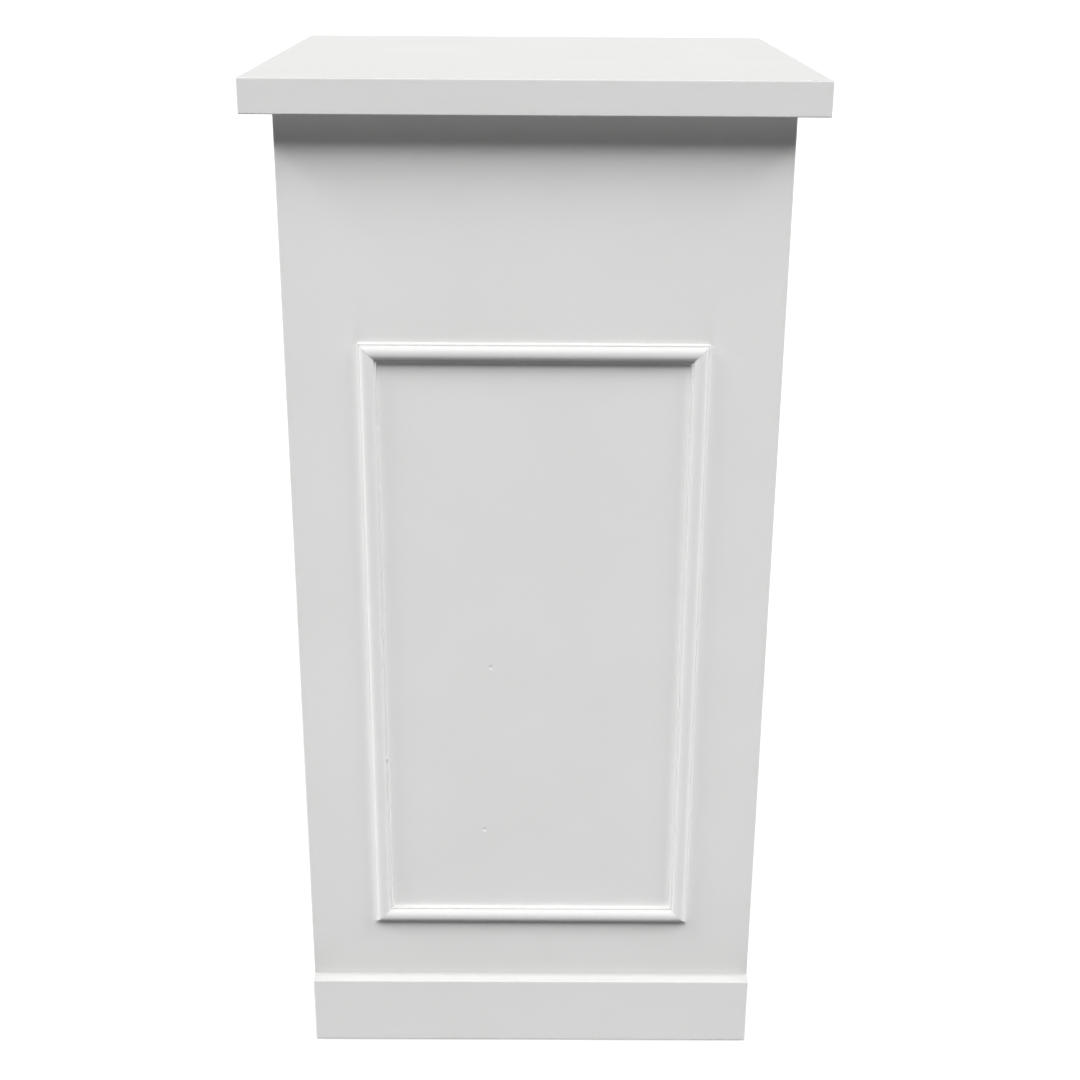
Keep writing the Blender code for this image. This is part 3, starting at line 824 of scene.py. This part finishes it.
def make_moulds(paints):
    """Four mitred lengths: the section carried along each side of the frame.

    A section's point at distance a in from the frame's outer edge runs from mitre to mitre, so its
    ends lie a short of the frame's corners. The nib adds its height * exp(-(distance / radius)^2)."""
    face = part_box("front_panel")[0][1]
    boxes = {side: node_box(f"panel_mould_{side}") for side in ("top", "right", "bottom", "left")}
    left, right = boxes["left"][0][0], boxes["right"][1][0]
    bottom, top = boxes["bottom"][0][2], boxes["top"][1][2]
    width = boxes["top"][1][2] - boxes["top"][0][2]
    section = mould_section(width, face - boxes["top"][0][1])
    back = [(width + MOULD_PAINT_FILLET, -SUNK), (-MOULD_PAINT_FILLET, -SUNK)]
    section = np.concatenate([section, back])
    across, out = section.T
    middle_x, middle_z = (left + right) / 2, (bottom + top) / 2
    half_x, half_z = (right - left) / 2, (top - bottom) / 2
    runs = {
        "top": ((1, 0), (0, 1), half_x, half_z),
        "bottom": ((1, 0), (0, -1), half_x, half_z),
        "left": ((0, 1), (-1, 0), half_z, half_x),
        "right": ((0, 1), (1, 0), half_z, half_x),
    }
    nib_x, nib_z, nib_radius, nib_height = NIB
    nib_share = (nib_z - middle_z) / (half_z - (nib_x - left) - MITRE_GAP)
    for side, (along, outward, half_length, half_width) in runs.items():
        reach = half_length - across - MITRE_GAP
        places = [nib_share * half_length] if side == "left" else []
        share = grid_lines(-half_length, half_length, MOULD_LINES, places) / half_length
        run = share[:, None] * reach[None]
        sections = np.empty((len(share), len(section), 3))
        sections[..., 0] = middle_x + run * along[0] + (half_width - across) * outward[0]
        sections[..., 1] = face - out
        sections[..., 2] = middle_z + run * along[1] + (half_width - across) * outward[1]
        from_nib = np.hypot(sections[..., 0] - nib_x, sections[..., 2] - nib_z) / nib_radius
        sections[..., 1] -= nib_height * np.exp(-from_nib ** 2) * (out > 0)
        node = f"panel_mould_{side}"
        add_piece(f"painted_{node}", sections, "carcass", node, (paints[along],),
                  smooth=45)


# Levelling feet and screws

def turned(radius, height, steps=ROUND_STEPS):
    """Sections about the Z axis: radius (cos t, sin t) at each height, with t going once round.

    The radius may also vary with t, as an array of heights x steps."""
    turn = full_turn(steps)
    radius = np.asarray(radius)
    radius = np.broadcast_to(radius if radius.ndim == 2 else radius[:, None], (len(height), steps))
    height = np.broadcast_to(np.asarray(height)[:, None], radius.shape)
    return np.stack([radius * np.cos(turn), radius * np.sin(turn), height], axis=-1)


def full_turn(steps=ROUND_STEPS):
    """Angles of a full turn, without its end."""
    return 2 * math.pi * np.arange(steps) / steps


def hexagon(flats, depth):
    """Radius of a chamfered hexagon, for depths below its nearer end face.

    Side: half the flats / cos of the turn from the side's middle. The chamfer is a cone that cuts the
    corners: its radius grows by the square root of three for each unit of depth."""
    side = flats / 2 / np.cos(full_turn() % (math.pi / 3) - math.pi / 6)
    cone = HEX_CHAMFER * flats + math.sqrt(3) * depth
    return np.minimum(side[None], cone[:, None])


def hexagon_depths(height):
    """Depths of rows over a hexagon's height: close together in the chamfer at both ends."""
    chamfer = np.linspace(0, HEX_CHAMFER_DEPTH, HEX_CHAMFER_ROWS)
    return np.concatenate([chamfer, height - chamfer[::-1]])


def thread(height, pitch, root, crest):
    """Radius of a right-handed thread: a triangle wave of height / pitch - turn, with flat crests.

    root and crest may vary with the height."""
    phase = (height[:, None] / pitch - full_turn()[None] / (2 * math.pi)) % 1
    ridge = np.clip((np.abs(2 * phase - 1) - THREAD_ROOT) / THREAD_FLANK, 0, 1)
    root = np.broadcast_to(root, height.shape)[:, None]
    crest = np.broadcast_to(crest, height.shape)[:, None]
    return root + (crest - root) * ridge


def fade(height, start, end):
    """0 before the start, 1 past the end, smooth between them."""
    share = np.clip((height - start) / (end - start), 0, 1)
    return share * share * (3 - 2 * share)


def stud_sections(low, high):
    """A stud: round end, chamfered hexagon collar, then a thread with a chamfered head.

    The round end's radius is the root of ball radius^2 - (ball radius - rise)^2."""
    rise = np.linspace(BALL_FLAT, COLLAR_BOTTOM - low, BALL_ROWS)
    ball = turned(np.sqrt(BALL_RADIUS ** 2 - (BALL_RADIUS - rise) ** 2), low + rise)
    ball[0, :, 2] = low
    depth = hexagon_depths(COLLAR_TOP - COLLAR_BOTTOM)
    from_end = np.minimum(depth, COLLAR_TOP - COLLAR_BOTTOM - depth)
    collar = turned(hexagon(COLLAR_FLATS, from_end), COLLAR_BOTTOM + depth)
    height = np.arange(COLLAR_TOP, high - 1e-6, STUD_PITCH / THREAD_ROWS)
    height = np.append(height, high)
    root = STUD_RADIUS - STUD_THREAD_DEPTH
    head = np.minimum(STUD_RADIUS, STUD_RADIUS - STUD_CHAMFER + (high - height))
    start, full = STUD_RUN_OUT
    crest = root + (head - root) * fade(height, COLLAR_TOP + start, COLLAR_TOP + full)
    screw = turned(thread(height, STUD_PITCH, np.minimum(root, head), crest), height)
    return np.concatenate([ball, collar, screw])


def nut_sections(low, high, flats):
    """A lock nut: chamfered hexagon outside, and a bore with a small countersink at both ends."""
    depth = hexagon_depths(high - low)
    from_end = np.minimum(depth, high - low - depth)
    outside = turned(hexagon(flats, from_end), low + depth)
    radius = BORE_RADIUS + np.array([NUT_SINK, 0, 0, NUT_SINK])
    bore = turned(radius, np.array([high, high - NUT_SINK, low + NUT_SINK, low]))
    return np.concatenate([outside, bore])


def ring_sections(points, ease):
    """A ring: a closed section of (radius, height) points with eased corners, turned about the axis."""
    start = (np.array(points[0]) + points[-1]) / 2
    section = eased([start, *points, start], ease)[:-1]
    return turned(section[:, 0], section[:, 1])


def pad_sections(rim):
    """A pad: ring grooves below, a gripped rim, a sloping flank, and a boss round the socket.

    Each groove is depth * exp(-(distance / width)^4) deep, and the rim is drawn in by the grip's depth
    * (1 + cos(grips * turn)) / 2."""
    across = np.linspace(PAD_CENTRE, rim - 2 * PAD_EASE, PAD_ROWS)
    groove = np.zeros_like(across)
    for middle in PAD_GROOVES:
        groove += PAD_GROOVE_DEPTH * np.exp(-((across - middle) / PAD_GROOVE_WIDTH) ** 4)
    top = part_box("foot_pad_front_left")[1][2]
    outside = eased([
        (rim - 2 * PAD_EASE, 0), (rim, 0), (rim, PAD_RIM), (PAD_BOSS, top), (PAD_SOCKET, top),
        (PAD_SOCKET, PAD_SOCKET_FLOOR), (PAD_SOCKET - PAD_EASE, PAD_SOCKET_FLOOR),
    ], PAD_EASE)
    profile = np.concatenate([np.stack([across, groove], axis=1), outside[1:]])
    grip = 0.5 + 0.5 * np.cos(PAD_GRIPS * full_turn(PAD_STEPS))
    near_rim = fade(profile[:, 0], rim - PAD_GRIP_REACH, rim)
    radius = profile[:, :1] - PAD_GRIP_DEPTH * near_rim[:, None] * grip[None]
    return turned(radius, profile[:, 1], PAD_STEPS)


def screw_sections(length):
    """A countersunk wood screw that points up from its head's face at height 0.

    The face sinks in a cross: depth * (1 - fade across an arm) * (1 - fade along it), the deeper of
    the two arms. A cone, a plain shank, a thread and a tapered point follow."""
    across = np.linspace(SCREW_EDGE, SCREW_HEAD - SCREW_EDGE, SCREW_FACE_ROWS)
    plan = turned(across, np.zeros_like(across))
    x, y = np.abs(plan[..., 0]), np.abs(plan[..., 1])
    arms = [(1 - fade(side, RECESS_HALF_WIDTH, RECESS_HALF_WIDTH + RECESS_WALL))
            * (1 - fade(run, RECESS_CENTRE, RECESS_REACH)) for run, side in ((x, y), (y, x))]
    plan[..., 2] = RECESS_DEPTH * np.maximum(*arms)
    cone = eased([
        (SCREW_HEAD - SCREW_EDGE, 0), (SCREW_HEAD, SCREW_EDGE),
        (SCREW_SHANK, SCREW_HEAD - SCREW_CORE), (SCREW_SHANK, SCREW_PLAIN),
    ], SCREW_EASE)
    height = np.arange(SCREW_PLAIN, length - 2 * SCREW_POINT, SCREW_PITCH / THREAD_ROWS)
    height = np.append(height, length - SCREW_POINT)
    taper = np.clip((length - height) / SCREW_TIP, SCREW_BLUNT, 1)
    root = SCREW_CORE * taper
    begun = fade(height, SCREW_PLAIN, SCREW_PLAIN + SCREW_PITCH)
    crest = root + (SCREW_RADIUS - SCREW_CORE) * taper * begun
    body = turned(thread(height, SCREW_PITCH, root, crest), height)
    return np.concatenate([plan, turned(cone[:, 0], cone[:, 1]), body])


def make_feet(steel, rubber):
    """Studs, lock nuts, inserts and pads at the four corners."""
    for corner in CORNERS:
        low, high = node_box(f"foot_stud_{corner}")
        axis = (low + high) / 2 * (1, 1, 0)
        stud = stud_sections(low[2], high[2]) + axis
        add_piece(f"threaded_stud_{corner}", stud, f"{corner}_stud", f"foot_stud_{corner}",
                  (steel,), smooth=35)
        low, high = node_box(f"foot_pad_{corner}")
        pad = pad_sections((high[0] - low[0]) / 2) + axis
        add_piece(f"grooved_pad_{corner}", pad, f"{corner}_pad", f"foot_pad_{corner}",
                  (rubber,))
        low, high = node_box(f"foot_lock_nut_{corner}")
        nut = nut_sections(low[2], high[2], high[1] - low[1]) + axis
        add_piece(f"chamfered_nut_{corner}", nut, "carcass", f"foot_lock_nut_{corner}",
                  (steel,), closed_rows=True, smooth=25)
        low, high = node_box(f"foot_insert_{corner}")
        flange = (high[0] - low[0]) / 2
        shoulder = low[2] + INSERT_FLANGE
        insert = ring_sections([
            (BORE_RADIUS, low[2]), (flange, low[2]), (flange, shoulder), (INSERT_BARREL, shoulder),
            (INSERT_BARREL, high[2]), (BORE_RADIUS, high[2]),
        ], INSERT_EASE) + axis
        add_piece(f"turned_insert_{corner}", insert, "carcass", f"foot_insert_{corner}",
                  (steel,), closed_rows=True)


def make_screws(steel):
    """Every screw: those of the top board point up, and those of the skirting point forwards."""
    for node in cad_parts:
        if "_screw_" not in node:
            continue
        low, high = node_box(node)
        middle = (low + high) / 2
        if node.startswith("top"):
            sections = screw_sections(high[2] - low[2]) + (middle[0], middle[1], low[2])
        else:
            x, y, z = np.moveaxis(screw_sections(high[1] - low[1]), -1, 0)
            sections = np.stack([x + middle[0], high[1] - z, y + middle[2]], axis=-1)
        add_piece(f"threaded_{node}", sections, "carcass", node, (steel,), smooth=35)


# Stage

def make_stage():
    """A pale floor: white to the camera with the plinth's shadow, dimmer for the light it throws back."""
    mesh = bpy.data.meshes.new("floor")
    ends = (-FLOOR_HALF, FLOOR_HALF)
    mesh.from_pydata([(x, y, 0) for y in ends for x in ends], [], [(0, 1, 3, 2)])
    floor = bpy.data.objects.new("floor", mesh)
    bpy.context.collection.objects.link(floor)
    paint = new_finish("pale_floor")
    bounce = paint.node("ShaderNodeBsdfDiffuse", {}, {"Color": (FLOOR_BOUNCE,) * 3})
    lit = paint.node("ShaderNodeBsdfDiffuse", {}, {"Color": (FLOOR_LIT,) * 3})
    glow = paint.node("ShaderNodeEmission", {}, {"Strength": FLOOR_GLOW})
    white = paint.node("ShaderNodeAddShader", {}, {0: lit, 1: glow})
    seen = paint.seen_directly()
    choice = paint.node("ShaderNodeMixShader", {}, {0: seen, 1: bounce, 2: white})
    paint.tree.nodes.remove(paint.shader)
    paint.fill(paint.output, {"Surface": choice})
    mesh.materials.append(paint.owner)


def make_world():
    """White where it is seen, and a low even fill otherwise."""
    world = bpy.data.worlds.new("studio")
    bpy.context.scene.world = world
    sky = Finish(world)
    seen = sky.seen_directly()
    level = sky.node("ShaderNodeMapRange", {}, {"Value": seen, "To Min": WORLD_FILL, "To Max": 1.0})
    sky.surface(color=(1, 1, 1), strength=level)


def make_lamps():
    """Wide soft lamps, far enough off to light the whole plinth evenly."""
    for name, (azimuth, height, width, strength) in LAMPS.items():
        light = bpy.data.lights.new(name, "SUN")
        light.energy = strength * math.pi
        light.angle = math.radians(width)
        lamp = bpy.data.objects.new(name, light)
        turn = Matrix.Rotation(math.radians(azimuth), 4, "Z")
        lamp.matrix_world = turn @ Matrix.Rotation(math.radians(90 - height), 4, "X")
        lamp.visible_glossy = name not in GRAZING_LAMPS
        bpy.context.collection.objects.link(lamp)


def make_camera():
    """The photograph's camera: placed, turned, pitched down and rolled a little."""
    lens = bpy.data.cameras.new("camera")
    lens.lens = CAMERA_LENS
    lens.sensor_width = SENSOR_WIDTH
    camera = bpy.data.objects.new("camera", lens)
    turn = Matrix.Rotation(CAMERA_YAW, 4, "Z") @ Matrix.Rotation(math.pi / 2 - CAMERA_PITCH, 4, "X")
    camera.matrix_world = Matrix.Translation(CAMERA_PLACE) @ turn @ Matrix.Rotation(CAMERA_ROLL, 4, "Z")
    bpy.context.collection.objects.link(camera)
    bpy.context.scene.camera = camera


def finish_nodes(finishes):
    """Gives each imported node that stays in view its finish."""
    for name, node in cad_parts.items():
        low, high = node_box(name)
        along = int(np.argmax(high - low))
        kind = node.material_slots[0].material.name.split(".")[0]
        made = finishes[kind]
        node.material_slots[0].material = made[along] if isinstance(made, tuple) else made


def main():
    bpy.context.scene.view_settings.view_transform = "Standard"
    rolled = rolled_paint("satin_white_rolled", WHITE)
    trim = rolled_paint("satin_white_trim", TRIM_WHITE_AND_SHADE)
    dulled = rolled_paint("satin_white_dulled", WHITE, DULL_GLOSS, DULL_ROUGHNESS)
    # the level moulding lengths take the trim white as painted shade, for the light from above that they
    # catch; the upright ones keep the walls' white
    brushed = {(1, 0): brushed_paint(0, TRIM_WHITE_AND_SHADE), (0, 1): brushed_paint(2, WHITE)}
    steel = zinc_plate()
    rubber = moulded_rubber()
    finish_nodes({
        "board_paint": rolled,
        "mould_paint": brushed[(1, 0)],
        "softwood": tuple(pine(along) for along in range(3)),
        "zinc_steel": steel,
        "black_rubber": rubber,
    })
    make_boards(rolled, trim, dulled, raw_fibreboard())
    make_moulds(brushed)
    make_feet(steel, rubber)
    make_screws(steel)
    make_stage()
    make_world()
    make_lamps()
    make_camera()


main()
